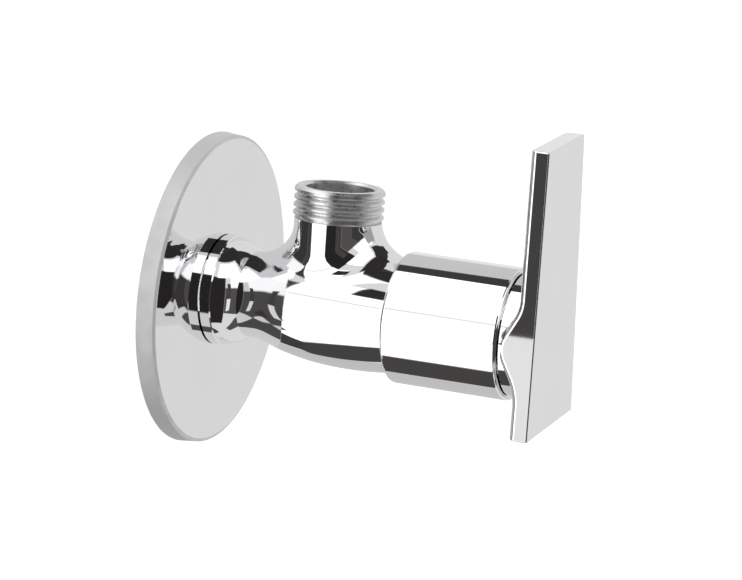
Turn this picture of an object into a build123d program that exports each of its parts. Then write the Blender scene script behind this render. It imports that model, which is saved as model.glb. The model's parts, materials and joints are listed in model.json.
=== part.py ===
from build123d import *
import os
from math import cos, pi, radians, sin

# Quarter-turn angle stop valve, in millimetres.
# The wall plane is x = 0, the valve's axis is X, from the wall to the handle,
# and the outlet points up, along +Z. Radii are measured from the piece's own axis.

# --- Threads, modelled as parallel grooves ---
PIPE_THREAD = {"radius": 20.955 / 2, "pitch": 25.4 / 14, "depth": 0.85, "crest": 0.5, "root": 0.3}
PIPE_R = PIPE_THREAD["radius"]
HEAD_THREAD = {"radius": 10.0, "pitch": 1.5, "depth": 0.8, "crest": 0.4, "root": 0.25}
HEAD_THREAD_R = HEAD_THREAD["radius"]

# --- Wall flange: a pressed cup with a hole that slides over the inlet thread ---
FLANGE_BACK_R = 36.6
FLANGE_FRONT_R = 36.2
FLANGE_FRONT_X = 4.43
FLANGE_SHEET = 1.1
FLANGE_HOLE_R = PIPE_R + 0.4
FLANGE_BEVEL = 0.9

# --- Body: inlet, collar, barrel, outlet ---
INLET_START_X = -11.5
INLET_THREAD_LEAD = 0.8
INLET_THREAD_END_X = 2.6
INLET_RELIEF_R = 9.3
INLET_BORE_R = 6.6
SEAT_HOLE_R = 5.4
SEAT_STEP_X = 18.0
SEAT_X = 24.0
COLLAR_X = FLANGE_FRONT_X + 0.3
COLLAR_R = 13.0
COLLAR_BAND_END_X = 7.0
COLLAR_BREAK = 0.25
SHOULDER_MIDDLE = (10.0, 11.8)
NECK = (12.6, 10.1)
BARREL_POINTS = [(16.0, 10.35), (21.0, 11.75), (28.0, 13.2), (38.0, 13.9)]
CHAMBER_R = 10.2
CHAMBER_START_X = 24.6
CHAMBER_END_X = 41.5
BODY_THREAD_R = HEAD_THREAD_R + 0.03
BODY_END_X = 54.5
BODY_END_R = 13.1
OUTLET_X = 32.26
OUTLET_TOP_Z = 27.9
OUTLET_TUBE_R = 10.1
OUTLET_BORE_R = 8.0
OUTLET_THREAD_START_Z = 21.2
OUTLET_THREAD_LEAD = 0.6
OUTLET_MOUTH_BEVEL = 0.5
OUTLET_RELIEF_R = 9.5
OUTLET_RELIEF_Z = 20.4
OUTLET_BLEND_R = 9.5

# --- Bonnet sleeve: plain tube with softened rims ---
SLEEVE_START_X = 50.3
SLEEVE_END_X = 78.3
SLEEVE_R = 15.2
SLEEVE_BORE_R = 13.6
SLEEVE_LIP_R = BODY_END_R + 0.03
SLEEVE_LIP = 1.2
SLEEVE_EDGE_R = 0.7
O_RING_X = 52.8
O_RING_CORD = 1.55
O_RING_GROOVE_R = 12.0

# --- Cartridge ---
HOUSING_START_X = 26.0
HOUSING_TUBE_R = 8.5
HOUSING_BORE_R = 7.5
HOUSING_FLOOR_X = 36.0
HOUSING_THREAD_X = (41.8, 53.2)
HOUSING_RELIEF_R = 8.9
HOUSING_FLANGE_R = 12.8
HOUSING_FLANGE_X = (56.0, 57.6)
HOUSING_HEX = 21.0
HOUSING_HEX_END_X = 64.0
HOUSING_TOP_R = 7.8
HOUSING_TOP_X = 68.3
STEM_R = 4.45
STEM_BORE_R = 4.5
STEM_HALF_FLATS = 3.65
WINDOW_X = (30.2, 35.4)
WINDOW_ANGLE = 100.0
DISC_R = 7.4
DISC_THICKNESS = 3.0
DISC_EAR_R = 8.3
DISC_EAR_WIDTH = 2.6
FIXED_DISC_X = 27.2
DISC_GAP = 0.05
DISC_PORT_R = (1.8, 6.2)
DISC_PORT_ANGLE = 82.0
SEAL_R = (5.5, 7.4)
SEAL_RING_R = (5.45, 6.1)
DRIVER_R = 7.0
DRIVER_THICKNESS = 1.7
DRIVER_WEB_R = 3.6
DRIVER_CUT_ANGLE = 100.0
DRIVER_BACK = 0.6
DRIVER_TONGUE = (2.2, 1.2)
STOP_RIB_R = (5.8, 7.6)
STOP_RIB_HEIGHT = 1.1
STOP_TAB_ANGLE = 60.0
STOP_PLAY_ANGLE = 1.0
QUARTER_TURN = 90.0
CLIP_X = HOUSING_TOP_X + 1.35
CLIP_THICKNESS = 1.0
CLIP_GROOVE_R = 3.6
CLIP_R = 6.3
CLIP_OPENING = 70.0
STEM_RING_X = (43.0, 47.0)
STEM_RING_CORD = 1.5
SPLINE_TEETH = 20
SPLINE_R = (3.55, 4.0)
SPLINE_X = (72.4, 78.9)
STEM_TIP_R = 3.5
STEM_TIP_X = 83.2

# --- Handle ---
LEVER_FRONT_X = 87.06
LEVER_THICKNESS = 4.5
LEVER_UP = 45.3
LEVER_DOWN = 20.4
LEVER_TOP_WIDTH = 23.7
LEVER_BOTTOM_WIDTH = 30.4
LEVER_LEAN = 4.4
RIDGE_APEX_X = 77.35
RIDGE_SLOPE = 0.55
RIDGE_NOSE_R = 6.55
RIDGE_ROOT_R = (8.0, 13.0)
LEVER_FRONT_EDGE_R = 0.35
LEVER_BACK_EDGE_R = 1.4
HUB_R = 13.1
BOSS_R = 14.1
BOSS_X = 78.6
HUB_RECESS_R = (8.4, 11.4)
HUB_RECESS_END_X = 78.0
INSERT_R = 6.2
HUB_BLIND_X = 83.5
GRUB_X = 81.2
GRUB_R = 2.0
GRUB_TIP_R = 3.55
GRUB_END_R = 9.8
PLUG_END_R = 13.8


def turned(points):
    """A solid of revolution about X, from (x, radius) corners."""
    return revolve(make_face(Polyline(*points, close=True)), Axis.X)


def ring(x0, x1, r_in, r_out):
    """A plain tube about X."""
    return turned([(x0, r_in), (x1, r_in), (x1, r_out), (x0, r_out)])


def rod(x0, x1, r):
    """A plain round bar about X."""
    return ring(x0, x1, 0, r)


def o_ring(x, r_inner, cord):
    """A rubber ring of round section about X."""
    path_r = r_inner + cord / 2
    return Pos(x, 0, 0) * Rot(0, 90, 0) * Torus(path_r, cord / 2)


def along_x(sketch, x0, x1):
    """A prism from x0 to x1, whose sketch is drawn with (y, z) coordinates."""
    return extrude(Plane.YZ.offset(x0) * sketch, x1 - x0)


def sector(r0, r1, middle, angle):
    """A ring sector in (y, z), centred on an angle from +Y toward +Z."""
    half = radians(angle / 2)
    turn = radians(middle)

    def at(r, a):
        return (r * cos(turn + a), r * sin(turn + a))

    outline = [
        Line(at(r0, -half), at(r1, -half)),
        ThreePointArc(at(r1, -half), at(r1, 0), at(r1, half)),
        Line(at(r1, half), at(r0, half)),
        ThreePointArc(at(r0, half), at(r0, 0), at(r0, -half)),
    ]
    return make_face(outline)


def thread_grooves(start, end, radius, pitch, depth, crest, root):
    """Parallel V grooves about X between two stations, with flat crests and roots."""
    beyond = 1.0
    flank = (pitch - crest - root) / 2
    reach = root / 2 + flank * (depth + beyond) / depth
    grooves = []
    middle = start + pitch - flank - root / 2
    while middle + flank + root / 2 <= end + 0.01:
        grooves.append(turned([
            (middle - reach, radius + beyond),
            (middle - root / 2, radius - depth),
            (middle + root / 2, radius - depth),
            (middle + reach, radius + beyond),
        ]))
        middle += pitch
    return grooves


def threaded(solid, start, end, thread):
    """The solid with a thread's grooves cut round it."""
    for groove in thread_grooves(start, end, **thread):
        solid -= groove
    return solid


def body_profile():
    """Half the outline of inlet, collar and barrel, as one closed face."""
    shoulder_start = (COLLAR_BAND_END_X + COLLAR_BREAK, COLLAR_R - COLLAR_BREAK)
    sleeve_seat = (SLEEVE_START_X, BODY_END_R)
    outline = [
        Polyline(
            (BODY_END_X, BODY_END_R),
            (BODY_END_X, 0),
            (INLET_START_X, 0),
            (INLET_START_X, PIPE_R - INLET_THREAD_LEAD),
            (INLET_START_X + INLET_THREAD_LEAD, PIPE_R),
            (INLET_THREAD_END_X, PIPE_R),
            (INLET_THREAD_END_X, INLET_RELIEF_R),
            (COLLAR_X, INLET_RELIEF_R),
            (COLLAR_X, COLLAR_R),
            (COLLAR_BAND_END_X, COLLAR_R),
            shoulder_start,
        ),
        ThreePointArc(shoulder_start, SHOULDER_MIDDLE, NECK),
        Spline(NECK, *BARREL_POINTS, sleeve_seat),
        Line(sleeve_seat, (BODY_END_X, BODY_END_R)),
    ]
    return make_face(outline)


def barrel_with_outlet():
    """The barrel and the plain outlet branch, blended by a wide round fillet."""
    tube = Cylinder(OUTLET_TUBE_R, OUTLET_TOP_Z, align=(Align.CENTER, Align.CENTER, Align.MIN))
    solid = revolve(body_profile(), Axis.X) + Pos(OUTLET_X, 0, 0) * tube
    seam = [
        e for e in solid.edges()
        if NECK[0] < e.center().X < SLEEVE_START_X and 2 < e.center().Z < OUTLET_RELIEF_Z
    ]
    solid = fillet(seam, OUTLET_BLEND_R)
    above = Cylinder(SLEEVE_R, OUTLET_TOP_Z, align=(Align.CENTER, Align.CENTER, Align.MIN))
    return solid - Pos(OUTLET_X, 0, OUTLET_RELIEF_Z) * above


def outlet_end():
    """The threaded end of the outlet branch with its relief, drawn along X, then stood up."""
    thread_end = OUTLET_TOP_Z - OUTLET_THREAD_LEAD
    end = turned([
        (OUTLET_RELIEF_Z, 0),
        (OUTLET_RELIEF_Z, OUTLET_RELIEF_R),
        (OUTLET_THREAD_START_Z, OUTLET_RELIEF_R),
        (OUTLET_THREAD_START_Z, PIPE_R),
        (thread_end, PIPE_R),
        (OUTLET_TOP_Z, PIPE_R - OUTLET_THREAD_LEAD),
        (OUTLET_TOP_Z, 0),
    ])
    end = threaded(end, OUTLET_THREAD_START_Z, thread_end, PIPE_THREAD)
    return Pos(OUTLET_X, 0, 0) * Rot(0, -90, 0) * end


def body_waterways():
    """Everything bored out of the body."""
    bevel = OUTLET_MOUTH_BEVEL
    outlet_bore = Pos(OUTLET_X, 0, 0) * Cylinder(
        OUTLET_BORE_R, OUTLET_TOP_Z + 1, align=(Align.CENTER, Align.CENTER, Align.MIN)
    )
    outlet_mouth = Pos(OUTLET_X, 0, OUTLET_TOP_Z - bevel / 2) * Cone(
        OUTLET_BORE_R, OUTLET_BORE_R + bevel, bevel
    )
    along_axis = turned([
        (INLET_START_X - 1, 0),
        (INLET_START_X - 1, INLET_BORE_R),
        (SEAT_STEP_X, INLET_BORE_R),
        (SEAT_STEP_X + 1, SEAT_HOLE_R),
        (SEAT_X, SEAT_HOLE_R),
        (SEAT_X, HOUSING_TUBE_R + 0.3),
        (CHAMBER_START_X, CHAMBER_R),
        (CHAMBER_END_X, CHAMBER_R),
        (CHAMBER_END_X, BODY_THREAD_R),
        (BODY_END_X + 1, BODY_THREAD_R),
        (BODY_END_X + 1, 0),
    ])
    return [along_axis, outlet_bore, outlet_mouth]


def valve_body():
    """The brass casting: inlet, collar, barrel, seat and outlet branch."""
    solid = barrel_with_outlet() + outlet_end()
    solid = threaded(solid, INLET_START_X + INLET_THREAD_LEAD, INLET_THREAD_END_X, PIPE_THREAD)
    for cut in body_waterways():
        solid -= cut
    solid -= ring(SLEEVE_START_X, BODY_END_X + 1, BODY_END_R, SLEEVE_R)
    half = O_RING_CORD / 2 + 0.1
    solid -= ring(O_RING_X - half, O_RING_X + half, O_RING_GROOVE_R, BODY_END_R + 1)
    return solid


def wall_flange():
    """A round cover plate, open at the back, with a bevelled front edge."""
    inner = FLANGE_FRONT_R - FLANGE_SHEET
    return turned([
        (0, FLANGE_BACK_R),
        (0, FLANGE_BACK_R - FLANGE_SHEET),
        (FLANGE_FRONT_X - FLANGE_SHEET, inner),
        (FLANGE_FRONT_X - FLANGE_SHEET, FLANGE_HOLE_R),
        (FLANGE_FRONT_X, FLANGE_HOLE_R),
        (FLANGE_FRONT_X, FLANGE_FRONT_R - FLANGE_BEVEL),
        (FLANGE_FRONT_X - FLANGE_BEVEL / 2, FLANGE_FRONT_R),
    ])


def bonnet_sleeve():
    """The chromed tube over the cartridge, with a lip that centres it on the body."""
    lip_end_x = SLEEVE_START_X + SLEEVE_LIP
    sleeve = turned([
        (SLEEVE_START_X, SLEEVE_LIP_R),
        (SLEEVE_START_X, SLEEVE_R),
        (SLEEVE_END_X, SLEEVE_R),
        (SLEEVE_END_X, SLEEVE_BORE_R),
        (lip_end_x, SLEEVE_BORE_R),
        (lip_end_x, SLEEVE_LIP_R),
    ])
    rims = [e for e in sleeve.edges().filter_by(GeomType.CIRCLE) if e.radius > SLEEVE_R - 0.01]
    return fillet(rims, SLEEVE_EDGE_R)


def sleeve_o_ring():
    """The ring in the body's groove that grips the sleeve."""
    return o_ring(O_RING_X, O_RING_GROOVE_R + 0.02, O_RING_CORD)


def seat_seal():
    """The rubber ring between the body's seat and the fixed disc."""
    inner, outer = SEAL_R
    lip = 1.0
    return turned([
        (SEAT_X, SEAL_RING_R[1] + 0.2),
        (SEAT_X, outer - 0.2),
        (FIXED_DISC_X, outer),
        (FIXED_DISC_X, inner),
        (FIXED_DISC_X - lip, inner),
        (FIXED_DISC_X - lip, SEAL_RING_R[1]),
        (SEAT_X + lip, SEAL_RING_R[1]),
    ])


def seal_support_ring():
    """The stiff ring that keeps the seat seal from folding inward."""
    inner, outer = SEAL_RING_R
    return ring(SEAT_X + 0.4, FIXED_DISC_X - 1.0, inner, outer)


def disc_ports(r0, r1, angle):
    """Two opposite sector openings, above and below the axis."""
    return sector(r0, r1, 90, angle) + sector(r0, r1, 270, angle)


def fixed_disc():
    """The ceramic disc that stays still, keyed into the housing by two ears."""
    r0, r1 = DISC_PORT_R
    ears = Rectangle(2 * DISC_EAR_R, DISC_EAR_WIDTH)
    disc = Circle(DISC_R) + ears - disc_ports(r0, r1, DISC_PORT_ANGLE)
    return along_x(disc, FIXED_DISC_X, FIXED_DISC_X + DISC_THICKNESS)


def moving_disc():
    """The ceramic disc that turns, with a slot across its back for the spindle's tongue."""
    r0, r1 = DISC_PORT_R
    start = FIXED_DISC_X + DISC_THICKNESS + DISC_GAP
    end = start + DISC_THICKNESS
    disc = along_x(Circle(DISC_R - 0.1) - disc_ports(r0, r1, DISC_PORT_ANGLE), start, end)
    width, depth = DRIVER_TONGUE
    slot = along_x(Rectangle(4 * DISC_R, width + 0.1), end - depth - 0.05, end + 1)
    return disc - slot


def cartridge_housing():
    """The brass headwork: slotted tube, thread, flange, hexagon, neck and stop rib."""
    flange_start, flange_end = HOUSING_FLANGE_X
    thread_start, thread_end = HOUSING_THREAD_X
    solid = turned([
        (HOUSING_START_X, HOUSING_BORE_R),
        (HOUSING_START_X, HOUSING_TUBE_R),
        (thread_start, HOUSING_TUBE_R),
        (thread_start, HEAD_THREAD_R),
        (thread_end, HEAD_THREAD_R),
        (thread_end, HOUSING_RELIEF_R),
        (flange_start, HOUSING_RELIEF_R),
        (flange_start, HOUSING_FLANGE_R),
        (flange_end, HOUSING_FLANGE_R),
        (flange_end, HOUSING_TOP_R),
        (HOUSING_TOP_X, HOUSING_TOP_R),
        (HOUSING_TOP_X, STEM_BORE_R),
        (HOUSING_FLOOR_X, STEM_BORE_R),
        (HOUSING_FLOOR_X, HOUSING_BORE_R),
    ])
    solid = threaded(solid, thread_start, thread_end, HEAD_THREAD)
    hexagon = RegularPolygon(HOUSING_HEX / 2, 6, major_radius=False) - Circle(HOUSING_TOP_R)
    solid += along_x(hexagon, flange_end, HOUSING_HEX_END_X)
    for middle in (90, 270):
        window = sector(HOUSING_BORE_R - 1, HOUSING_TUBE_R + 1, middle, WINDOW_ANGLE)
        solid -= along_x(window, *WINDOW_X)
    ear_slots = Rectangle(4 * HOUSING_TUBE_R, DISC_EAR_WIDTH + 0.1)
    solid -= along_x(ear_slots, HOUSING_START_X - 1, FIXED_DISC_X + DISC_THICKNESS + 0.1)
    gap = QUARTER_TURN + STOP_TAB_ANGLE + 2 * STOP_PLAY_ANGLE
    rib_middle = 90 - QUARTER_TURN / 2 + 180
    rib = sector(*STOP_RIB_R, rib_middle, 360 - gap)
    solid += along_x(rib, HOUSING_TOP_X, HOUSING_TOP_X + STOP_RIB_HEIGHT)
    return solid


def cartridge_gasket():
    """The flat ring that seals the cartridge's flange on the body's end."""
    return ring(BODY_END_X, HOUSING_FLANGE_X[0], HEAD_THREAD_R + 0.2, HOUSING_FLANGE_R)


def spline(r_root, r_tip):
    """A toothed section in (y, z)."""
    step = 2 * pi / SPLINE_TEETH
    corners = []
    for i in range(SPLINE_TEETH):
        for share, r in ((-0.3, r_root), (-0.12, r_tip), (0.12, r_tip), (0.3, r_root)):
            corners.append((r * cos((i + share) * step), r * sin((i + share) * step)))
    return make_face(Polyline(*corners, close=True))


def spindle():
    """The brass stem: tongue, driving flange, ring grooves, clip groove, spline and tip."""
    width, depth = DRIVER_TONGUE
    disc_end = FIXED_DISC_X + 2 * DISC_THICKNESS + DISC_GAP
    flange_end = disc_end + DRIVER_THICKNESS
    solid = rod(flange_end, SPLINE_X[0], STEM_R) + rod(disc_end, flange_end, DRIVER_R)
    waterways = disc_ports(DRIVER_WEB_R, DRIVER_R + 1, DRIVER_CUT_ANGLE)
    solid -= along_x(waterways, disc_end - 1, flange_end - DRIVER_BACK)
    tongue = Rectangle(2 * DRIVER_R, width) & Circle(DRIVER_R)
    solid += along_x(tongue, disc_end - depth, disc_end)
    for x in STEM_RING_X:
        half = STEM_RING_CORD / 2 + 0.1
        solid -= ring(x - half, x + half, STEM_R - STEM_RING_CORD, STEM_R + 1)
    solid -= ring(CLIP_X - 0.05, CLIP_X + CLIP_THICKNESS + 0.05, CLIP_GROOVE_R, STEM_R + 1)
    flats = Rectangle(4 * STEM_R, 4 * STEM_R) - Rectangle(2 * STEM_HALF_FLATS, 4 * STEM_R)
    solid -= along_x(flats, HOUSING_TOP_X, CLIP_X - 0.05)
    solid += along_x(spline(*SPLINE_R), *SPLINE_X)
    solid += rod(SPLINE_X[1], STEM_TIP_X, STEM_TIP_R)
    return solid


def stem_o_ring(x):
    """A ring in one of the spindle's grooves."""
    return o_ring(x, STEM_R - STEM_RING_CORD + 0.02, STEM_RING_CORD)


def thrust_washer():
    """The slippery washer between the driving flange and the housing's floor."""
    start = FIXED_DISC_X + 2 * DISC_THICKNESS + DISC_GAP + DRIVER_THICKNESS
    return ring(start, HOUSING_FLOOR_X - 0.05, STEM_R + 0.05, DRIVER_R)


def stop_washer():
    """The tabbed washer on the stem's flats that meets the housing's stop rib."""
    hole = Circle(STEM_R + 0.03) & Rectangle(2 * STEM_HALF_FLATS + 0.06, 4 * STEM_R)
    tab = sector(STEM_R + 0.5, STOP_RIB_R[1] - 0.2, 90, STOP_TAB_ANGLE)
    washer = Circle(STOP_RIB_R[0] - 0.3) + tab - hole
    return along_x(washer, HOUSING_TOP_X + 0.05, HOUSING_TOP_X + STOP_RIB_HEIGHT)


def retaining_clip():
    """The C-clip in the stem's groove."""
    gap = sector(0.5, CLIP_R + 1, 270, CLIP_OPENING)
    clip = Circle(CLIP_R) - Circle(CLIP_GROOVE_R + 0.03) - gap
    return along_x(clip, CLIP_X, CLIP_X + CLIP_THICKNESS)


def leaned(solid):
    """Turn a handle piece to where the spline's teeth let the lever stand."""
    return Rot(LEVER_LEAN, 0, 0) * solid


def lever_side():
    """The lever seen from its side, in (x, z): flat front, thin plate, wedge ridge."""
    back = LEVER_FRONT_X - LEVER_THICKNESS
    foot = (back - RIDGE_APEX_X) / RIDGE_SLOPE
    over = 5
    corners = [
        (LEVER_FRONT_X, -LEVER_DOWN - over),
        (LEVER_FRONT_X, LEVER_UP + over),
        (back, LEVER_UP + over),
        (back, foot),
        (RIDGE_APEX_X, 0),
        (back, -foot),
        (back, -LEVER_DOWN - over),
    ]
    face = make_face(Polyline(*corners, close=True))
    for height, radius in ((foot, RIDGE_ROOT_R[0]), (-foot, RIDGE_ROOT_R[1]), (0, RIDGE_NOSE_R)):
        corner = [v for v in face.vertices() if abs(v.Y - height) < 0.01]
        face = fillet(corner, radius)
    return face


def lever_blade():
    """The plate and ridge, cut to the tapered outline seen from the front."""
    side = extrude(Plane.XZ * lever_side(), LEVER_BOTTOM_WIDTH, both=True)
    top, bottom = LEVER_TOP_WIDTH / 2, LEVER_BOTTOM_WIDTH / 2
    front = make_face(Polyline(
        (-bottom, -LEVER_DOWN), (bottom, -LEVER_DOWN), (top, LEVER_UP), (-top, LEVER_UP), close=True
    ))
    blade = side & along_x(front, RIDGE_APEX_X - 5, LEVER_FRONT_X + 5)
    middle_x = LEVER_FRONT_X - LEVER_THICKNESS / 2
    back_sides = [
        e for e in blade.edges() if e.center().X < middle_x - 0.1 and abs(e.center().Y) > 1
    ]
    blade = fillet(back_sides, LEVER_BACK_EDGE_R)
    front_face = blade.faces().sort_by(Axis.X)[-1]
    ends = blade.faces().sort_by(Axis.Z)
    crisp = front_face.edges() + ends[0].edges() + ends[-1].edges()
    return fillet(list(set(crisp)), LEVER_FRONT_EDGE_R)


def radial_hole(r, inner, outer):
    """A round bar from the axis side outward and down, where the grub screw sits."""
    bar = Cylinder(r, outer - inner, align=(Align.CENTER, Align.CENTER, Align.MIN))
    return Pos(GRUB_X, 0, -inner) * Rot(180, 0, 0) * bar


def handle_lever():
    """The lever with its ridge, the boss behind it and the hub that enters the sleeve."""
    hub = rod(SPLINE_X[0], BOSS_X, HUB_R) + rod(BOSS_X, LEVER_FRONT_X - 1, BOSS_R)
    solid = lever_blade() + hub
    solid -= ring(SPLINE_X[0] - 1, HUB_RECESS_END_X, *HUB_RECESS_R)
    solid -= rod(SPLINE_X[0] - 1, SPLINE_X[1] + 0.2, INSERT_R)
    solid -= rod(SPLINE_X[1], HUB_BLIND_X, STEM_TIP_R + 0.2)
    solid -= radial_hole(GRUB_R, 0, HUB_R + 5)
    return leaned(solid)


def spline_insert():
    """The splined bush pressed into the hub."""
    r_root, r_tip = SPLINE_R
    return along_x(Circle(INSERT_R) - spline(r_root + 0.05, r_tip + 0.05), *SPLINE_X)


def handle_grub_screw():
    """The hexagon-socket set screw that clamps the spindle's tip."""
    screw = radial_hole(GRUB_R, GRUB_TIP_R, GRUB_END_R)
    socket = extrude(RegularPolygon(1.0, 6, major_radius=False), 2.2)
    return leaned(screw - Pos(GRUB_X, 0, -GRUB_END_R) * socket)


def grub_screw_plug():
    """The cap that closes the set screw's hole, almost flush with the boss."""
    return leaned(radial_hole(GRUB_R, GRUB_END_R + 0.3, PLUG_END_R))


PIECES = {
    "valve_body": valve_body,
    "wall_flange": wall_flange,
    "bonnet_sleeve": bonnet_sleeve,
    "sleeve_o_ring": sleeve_o_ring,
    "seat_seal": seat_seal,
    "seal_support_ring": seal_support_ring,
    "fixed_disc": fixed_disc,
    "moving_disc": moving_disc,
    "cartridge_housing": cartridge_housing,
    "cartridge_gasket": cartridge_gasket,
    "spindle": spindle,
    "spindle_o_ring_inner": lambda: stem_o_ring(STEM_RING_X[0]),
    "spindle_o_ring_outer": lambda: stem_o_ring(STEM_RING_X[1]),
    "thrust_washer": thrust_washer,
    "stop_washer": stop_washer,
    "retaining_clip": retaining_clip,
    "handle_lever": handle_lever,
    "spline_insert": spline_insert,
    "handle_grub_screw": handle_grub_screw,
    "grub_screw_plug": grub_screw_plug,
}

os.makedirs("parts", exist_ok=True)
for name, make in PIECES.items():
    export_step(make(), f"parts/{name}.step")
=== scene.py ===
import json
from math import cos, radians, sin

import bpy
from mathutils import Matrix, Vector


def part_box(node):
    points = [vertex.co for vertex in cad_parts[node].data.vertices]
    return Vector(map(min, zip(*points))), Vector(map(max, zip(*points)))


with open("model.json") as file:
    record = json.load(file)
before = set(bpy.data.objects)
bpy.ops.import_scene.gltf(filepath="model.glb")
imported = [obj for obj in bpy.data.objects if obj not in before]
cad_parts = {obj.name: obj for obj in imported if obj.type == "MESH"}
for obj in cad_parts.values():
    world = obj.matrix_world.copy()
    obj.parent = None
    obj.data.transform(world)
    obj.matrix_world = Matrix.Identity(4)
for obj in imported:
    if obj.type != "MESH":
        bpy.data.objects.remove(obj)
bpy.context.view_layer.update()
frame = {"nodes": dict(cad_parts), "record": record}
nodes = frame["nodes"]
scene = bpy.context.scene

# The lengths of the satin threads on the body, and the width of the flange's rim (metres).
OUTLET_THREAD = 0.0075
INLET_THREAD_END_X = 0.003
FLANGE_RIM = 0.0011
MASK_EDGE = 0.0002

# Tool marks: ring spacing on the chromed threads and on turned bar, and their depth (metres).
THREAD_RING_PITCH = 0.00022
BAR_RING_PITCH = 0.00015
RING_DEPTH = 4.0e-6

WHITE = (1.0, 1.0, 1.0, 1.0)
BLACK = (0.0, 0.0, 0.0, 1.0)


# ---------------------------------------------------------------- camera

def add_camera():
    """The photograph's viewing angle: azimuth and elevation about a target on the valve."""
    azimuth, elevation, roll = radians(68.6), radians(10.51), radians(4.515)
    distance = 0.76455
    target = Vector((0.041738, 0.0, 0.005051))
    away = Vector((
        cos(azimuth) * cos(elevation), -sin(azimuth) * cos(elevation), sin(elevation)
    ))
    data = bpy.data.cameras.new("camera")
    data.sensor_width = 36.0
    data.lens = 161.41
    camera = bpy.data.objects.new("camera", data)
    turn = away.to_track_quat("Z", "Y").to_matrix() @ Matrix.Rotation(roll, 3, "Z")
    camera.matrix_world = Matrix.Translation(target + distance * away) @ turn.to_4x4()
    scene.collection.objects.link(camera)
    scene.camera = camera


# ---------------------------------------------------------------- node helpers

class Tree:
    """A short way to write a node tree: each call adds a node and returns an output socket."""

    def __init__(self, tree):
        self.tree = tree
        tree.nodes.clear()

    def node(self, kind, inputs=(), **settings):
        made = self.tree.nodes.new(kind)
        for key, value in settings.items():
            setattr(made, key, value)
        for key, value in dict(inputs).items():
            if isinstance(value, bpy.types.NodeSocket):
                self.tree.links.new(value, made.inputs[key])
            else:
                made.inputs[key].default_value = value
        return made

    def math(self, operation, a, b=0.0):
        return self.node("ShaderNodeMath", {0: a, 1: b}, operation=operation).outputs[0]

    def position(self):
        return self.node("ShaderNodeTexCoord").outputs["Object"]

    def stretched(self, vector, scale):
        made = self.node("ShaderNodeMapping", {"Vector": vector, "Scale": scale})
        return made.outputs["Vector"]

    def noise(self, vector, scale, detail=3.0, rough=0.5):
        made = self.node(
            "ShaderNodeTexNoise",
            {"Vector": vector, "Scale": scale, "Detail": detail, "Roughness": rough},
        )
        return made.outputs["Fac"]

    def ramp(self, value, low, high, to_low=0.0, to_high=1.0):
        """A smooth step from one value to another."""
        made = self.node(
            "ShaderNodeMapRange",
            {"Value": value, "From Min": low, "From Max": high, "To Min": to_low, "To Max": to_high},
            interpolation_type="SMOOTHSTEP",
        )
        return made.outputs["Result"]

    def split(self, vector):
        """The x, y and z of a vector."""
        return self.node("ShaderNodeSeparateXYZ", {0: vector}).outputs

    def blend(self, share, a, b):
        """A number between a and b."""
        return self.node("ShaderNodeMix", {0: share, 2: a, 3: b}).outputs[0]

    def mix(self, share, a, b):
        """A colour between a and b."""
        made = self.node("ShaderNodeMix", {0: share, 6: a, 7: b}, data_type="RGBA")
        return made.outputs[2]

    def bump(self, height, depth, normal=None):
        inputs = {"Height": height, "Distance": depth, "Strength": 1.0}
        if normal is not None:
            inputs["Normal"] = normal
        return self.node("ShaderNodeBump", inputs).outputs["Normal"]


def rgb(colour, share=1.0):
    """A colour with its alpha, made darker or lighter by a share."""
    return (*(share * c for c in colour), 1.0)


def mottled(tree, place, scale, detail, colour, spread):
    """A colour that wanders by a small share either way."""
    low, high = rgb(colour, 1.0 - spread), rgb(colour, 1.0 + spread)
    return tree.mix(tree.noise(place, scale, detail), low, high)


def new_material(name):
    material = bpy.data.materials.new(name)
    material.use_nodes = True
    return material, Tree(material.node_tree)


def finish_material(tree, **inputs):
    """The shader, with its inputs given by name."""
    named = {key.replace("_", " ").title(): value for key, value in inputs.items()}
    shader = tree.node("ShaderNodeBsdfPrincipled", named)
    tree.node("ShaderNodeOutputMaterial", {"Surface": shader.outputs[0]})


# ---------------------------------------------------------------- metals

def smudges(tree, place, clean, amount):
    """Roughness of a polished face: even haze, faint handling marks and hairline scratches."""
    haze = tree.noise(place, 140.0, 4.0)
    marks = tree.ramp(tree.noise(place, 55.0, 2.0), 0.55, 0.75, 0.0, amount)
    lines = tree.noise(tree.stretched(place, (220.0, 1400.0, 60.0)), 1.0, 2.0)
    hairs = tree.ramp(lines, 0.66, 0.74, 0.0, 0.5 * amount)
    level = tree.math("ADD", tree.math("MULTIPLY", haze, 0.5 * clean), clean)
    return tree.math("ADD", tree.math("ADD", level, marks), hairs)


def ripple(tree, place, scale, depth):
    """The slow waviness that buffing leaves under the plate, and the fine grain on it."""
    slow = tree.bump(tree.noise(place, scale, 1.0), depth)
    return tree.bump(tree.noise(place, 9000.0, 2.0), 1.5e-7, slow)


def turned_rings(tree, along, pitch, normal=None):
    """Tool marks: fine rings, from the coordinate along the turning axis."""
    marks = tree.node(
        "ShaderNodeTexNoise",
        {"W": along, "Scale": 1.0 / pitch, "Detail": 2.0},
        noise_dimensions="1D",
    )
    return tree.bump(marks.outputs["Fac"], RING_DEPTH, normal)


def plain_chrome(name, colour, clean, amount, wave):
    """Mirror chrome."""
    material, tree = new_material(name)
    place = tree.position()
    tint = mottled(tree, place, 70.0, 3.0, colour, 0.03)
    finish_material(
        tree, base_color=tint, metallic=1.0,
        roughness=smudges(tree, place, clean, amount),
        normal=ripple(tree, place, *wave),
    )
    return material


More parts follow.
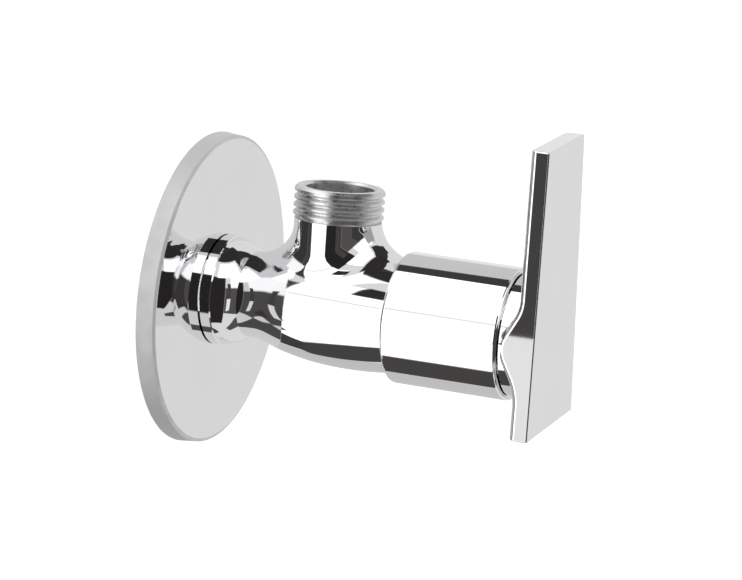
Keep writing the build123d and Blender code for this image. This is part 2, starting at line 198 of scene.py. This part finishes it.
def body_chrome(name, colour, outlet_z, inlet_x):
    """Mirror chrome on the casting, satin rings on its two threaded ends."""
    material, tree = new_material(name)
    place = tree.position()
    x, _, z = tree.split(place)
    outlet = tree.ramp(z, outlet_z - MASK_EDGE, outlet_z)
    inlet = tree.ramp(x, inlet_x - MASK_EDGE, inlet_x, 1.0, 0.0)
    thread = tree.math("MAXIMUM", outlet, inlet)
    along = tree.blend(outlet, x, z)
    polished = smudges(tree, place, 0.02, 0.04)
    satin = tree.ramp(tree.noise(place, 900.0, 4.0), 0.3, 0.7, 0.26, 0.4)
    roughness = tree.blend(thread, polished, satin)
    smooth = ripple(tree, place, 130.0, 1.5e-5)
    rings = turned_rings(tree, along, THREAD_RING_PITCH, smooth)
    normal = tree.node("ShaderNodeMix", {0: thread, 4: smooth, 5: rings}, data_type="VECTOR")
    tint = mottled(tree, place, 70.0, 3.0, colour, 0.03)
    finish_material(
        tree, base_color=tree.mix(thread, tint, rgb(colour, 0.86)), metallic=1.0,
        roughness=roughness, normal=normal.outputs[1],
    )
    return material


def flange_chrome(name, colour, rim_r):
    """Bright face, and a rim that was only pressed and plated."""
    material, tree = new_material(name)
    place = tree.position()
    _, y, z = tree.split(place)
    squares = [tree.math("POWER", value, 2.0) for value in (y, z)]
    radius = tree.math("SQRT", tree.math("ADD", *squares))
    rim = tree.ramp(radius, rim_r - MASK_EDGE, rim_r)
    soft = tree.ramp(tree.noise(place, 300.0, 3.0), 0.3, 0.7, 0.62, 0.75)
    polished = smudges(tree, place, 0.02, 0.04)
    roughness = tree.math("MAXIMUM", tree.math("MULTIPLY", rim, soft), polished)
    tint = mottled(tree, place, 60.0, 3.0, colour, 0.03)
    finish_material(
        tree, base_color=tint, metallic=1.0, roughness=roughness,
        normal=ripple(tree, place, 90.0, 1.2e-5),
    )
    return material


def machined(name, colour, rough, axis=0):
    """Turned bar: bright metal under fine tool rings."""
    material, tree = new_material(name)
    place = tree.position()
    rings = turned_rings(tree, tree.split(place)[axis], BAR_RING_PITCH)
    grain = tree.noise(place, 1500.0, 3.0)
    tint = tree.mix(tree.noise(place, 160.0, 4.0), rgb(colour, 0.9), rgb(colour, 1.05))
    finish_material(
        tree, base_color=tint, metallic=1.0,
        roughness=tree.ramp(grain, 0.2, 0.8, rough, 1.6 * rough),
        normal=tree.bump(grain, 8.0e-7, rings),
    )
    return material


# ---------------------------------------------------------------- other materials

def moulded(name, colour, rough, grain_depth, mottle=0.04):
    """A non-metal: slight mottling, a fine skin and uneven gloss."""
    material, tree = new_material(name)
    place = tree.position()
    gloss = tree.noise(place, 400.0, 3.0)
    skin = tree.noise(place, 2500.0, 4.0)
    finish_material(
        tree, base_color=mottled(tree, place, 260.0, 4.0, colour, mottle), metallic=0.0,
        roughness=tree.ramp(gloss, 0.3, 0.7, 0.85 * rough, 1.15 * rough),
        normal=tree.bump(skin, grain_depth),
    )
    return material


def fibre(name, colour):
    """Pressed fibre sheet: short strands of lighter and darker red."""
    material, tree = new_material(name)
    place = tree.position()
    one = tree.noise(tree.stretched(place, (900.0, 2600.0, 500.0)), 1.0, 3.0)
    other = tree.noise(tree.stretched(place, (700.0, 450.0, 2800.0)), 1.0, 3.0)
    strands = tree.math("MULTIPLY", one, other)
    tint = tree.mix(tree.ramp(strands, 0.15, 0.4), rgb(colour, 0.6), rgb(colour, 1.35))
    finish_material(tree, base_color=tint, roughness=0.82, normal=tree.bump(strands, 2.0e-5))
    return material


def chromes():
    """The four plated pieces, in the record's own colours."""
    colours = {entry["slot"]: entry["base_color"] for entry in frame["record"]["materials"]}
    thread_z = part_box("valve_body")[1].z - OUTLET_THREAD
    rim_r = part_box("wall_flange")[1].y - FLANGE_RIM
    body, flange = "chromed_body", "chromed_flange"
    sleeve, lever = "chromed_sleeve", "chromed_lever"
    return {
        body: body_chrome(body, colours[body], thread_z, INLET_THREAD_END_X),
        flange: flange_chrome(flange, colours[flange], rim_r),
        sleeve: plain_chrome(sleeve, colours[sleeve], 0.02, 0.04, (60.0, 4.0e-6)),
        lever: plain_chrome(lever, colours[lever], 0.035, 0.05, (80.0, 8.0e-6)),
    }


def inner_materials():
    """The cartridge's metals, ceramic, plastics and seals."""
    return {
        "brass": machined("brass", (0.78, 0.58, 0.27), 0.17),
        "clip_steel": machined("clip_steel", (0.55, 0.56, 0.58), 0.22, 1),
        "screw_steel": machined("screw_steel", (0.5, 0.51, 0.53), 0.22, 2),
        "ceramic_white": moulded("ceramic_white", (0.86, 0.85, 0.81), 0.1, 1.0e-7, 0.02),
        "white_plastic": moulded("white_plastic", (0.8, 0.8, 0.77), 0.42, 6.0e-7),
        "plug_plastic": moulded("plug_plastic", (0.5, 0.5, 0.51), 0.4, 8.0e-7),
        "seal_rubber": moulded("seal_rubber", (0.03, 0.03, 0.031), 0.55, 2.0e-6, 0.25),
        "fibre_gasket": fibre("fibre_gasket", (0.42, 0.11, 0.07)),
    }


def dress():
    """One material for each slot of the record."""
    looks = {**chromes(), **inner_materials()}
    for part in frame["record"]["subparts"]:
        mesh = nodes[part["node"]].data
        mesh.materials.clear()
        mesh.materials.append(looks[part["material_slot"]])


# ---------------------------------------------------------------- studio

# Soft boxes and dark cards around the object, each by its range of azimuth (from +X toward +Y)
# and of elevation in degrees and by its brightness. A later one covers an earlier one.
PANELS = [
    ((-258, -208), (-72, -14), 0.58),
    ((-256, -226), (-14, 60), 0.62),
    ((-256, -243), (-14, 22), 0.86),
    ((-210, -150), (-36, 30), 0.45),
    ((-212, -104), (-90, -58), 0.065),
    ((-204, -161), (-60, -41), 0.055),
    ((-168, -142), (-46, -32), 0.055),
    ((-98, -58), (-64, 34), 0.022),
    ((-58, -24), (-40, 12), 0.09),
    ((-24, 12), (-75, -38), 0.09),
    ((-30, 4), (-30, 12), 0.05),
    ((-80, -18), (33, 63), 1.6),
    ((-46, -10), (14, 34), 1.3),
    ((-10, 62), (42, 70), 0.035),
    ((-112, 90), (67, 90), 0.03),
    ((-270, 90), (73, 90), 0.03),
    ((-151, -136), (-34, 38), 0.05),
    ((-182, -150), (30, 46), 1.6),
    ((-138, -97), (-57, 52), 1.6),
    ((-148, -132), (-57, -30), 1.6),
    ((-160, -134), (-57, -45), 1.6),
    ((-196, -120), (50, 72), 1.6),
    ((-111, -99), (36, 54), 0.03),
    ((-231, -194), (60, 74), 0.05),
    ((-136, -98), (18.5, 21.5), 0.85),
]
SEAM = 90  # turns the azimuth's jump from -X to a side that no panel crosses
SOFT = 1.0
BASE_LIGHT = 0.79
WARM = (1.0, 0.93, 0.89, 1.0)


def panel_mask(tree, azimuth, elevation, sides, heights):
    """1 inside a panel's ranges of angle, with a soft edge."""
    mask = 1.0
    for angle, (low, high) in ((azimuth, sides), (elevation, heights)):
        for edge, ends in ((low, (0.0, 1.0)), (high, (1.0, 0.0))):
            step = tree.ramp(angle, edge - SOFT, edge + SOFT, *ends)
            mask = tree.math("MULTIPLY", mask, step)
    return mask


def add_world():
    """A light tent: the panels above on an even grey, and plain white behind the object."""
    world = bpy.data.worlds.new("studio")
    world.use_nodes = True
    tree = Tree(world.node_tree)
    way = tree.node("ShaderNodeTexCoord").outputs["Generated"]
    turned = tree.node(
        "ShaderNodeVectorRotate", {"Vector": way, "Angle": radians(SEAM)}, rotation_type="Z_AXIS"
    )
    x, y, z = tree.split(turned.outputs[0])
    azimuth = tree.math("DEGREES", tree.math("ARCTAN2", y, x))
    elevation = tree.math("DEGREES", tree.math("ARCSINE", z))
    light = BASE_LIGHT
    for (left, right), heights, level in PANELS:
        sides = (left + SEAM, right + SEAM)
        light = tree.blend(panel_mask(tree, azimuth, elevation, sides, heights), light, level)
    shown = tree.node("ShaderNodeLightPath").outputs["Is Camera Ray"]
    light = tree.blend(shown, light, 1.0)
    warmth = tree.mix(tree.ramp(light, 0.0, 0.6), WARM, WHITE)
    sky = tree.node("ShaderNodeBackground", {"Color": warmth, "Strength": light})
    tree.node("ShaderNodeOutputWorld", {"Surface": sky.outputs[0]})
    scene.world = world


def add_floor():
    """A pale floor well below the wall-mounted valve, left out of the mirror-bright chrome."""
    size, drop = 4.0, 0.22
    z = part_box("wall_flange")[0].z - drop
    mesh = bpy.data.meshes.new("floor")
    corners = [(-size, -size, z), (size, -size, z), (size, size, z), (-size, size, z)]
    mesh.from_pydata(corners, [], [(0, 1, 2, 3)])
    floor = bpy.data.objects.new("floor", mesh)
    material, tree = new_material("floor")
    finish_material(
        tree, base_color=(0.93, 0.93, 0.93, 1.0), roughness=0.9,
        emission_color=WHITE, emission_strength=0.4,
    )
    mesh.materials.append(material)
    scene.collection.objects.link(floor)
    floor.visible_glossy = False


CARD_Y = -0.075


def add_card(name, outline, tone, light):
    """A card beside the lever, seen only in the mirror of its long side face."""
    y = CARD_Y
    mesh = bpy.data.meshes.new(name)
    mesh.from_pydata([(x, y, z) for x, z in outline], [], [range(len(outline))])
    card = bpy.data.objects.new(name, mesh)
    material, tree = new_material(name)
    finish_material(
        tree, base_color=BLACK, roughness=1.0,
        emission_color=rgb(tone), emission_strength=light,
    )
    mesh.materials.append(material)
    scene.collection.objects.link(card)
    card.visible_camera = False
    card.visible_diffuse = False
    card.visible_shadow = False


def add_cards():
    """Dark over the lever's upper half, pale under it, cut back where the sleeve would show it."""
    right, cut, near = 0.074, 0.058, 0.0568
    split, step, top, bottom = -0.0136, -0.0095, 0.036, -0.06
    notch = step + 0.002
    dark = [(near, split), (right, split), (right, top), (cut, top), (cut, notch), (near, step)]
    add_card("card_dark", dark, (1.0, 0.93, 0.9), 0.055)
    pale = [(cut, bottom), (right, bottom), (right, split), (cut, split)]
    add_card("card_pale", pale, (1.0, 1.0, 1.0), 0.88)


def set_view():
    """Plain tones, so that white stays white."""
    scene.view_settings.view_transform = "Standard"


add_camera()
dress()
add_world()
add_floor()
add_cards()
set_view()
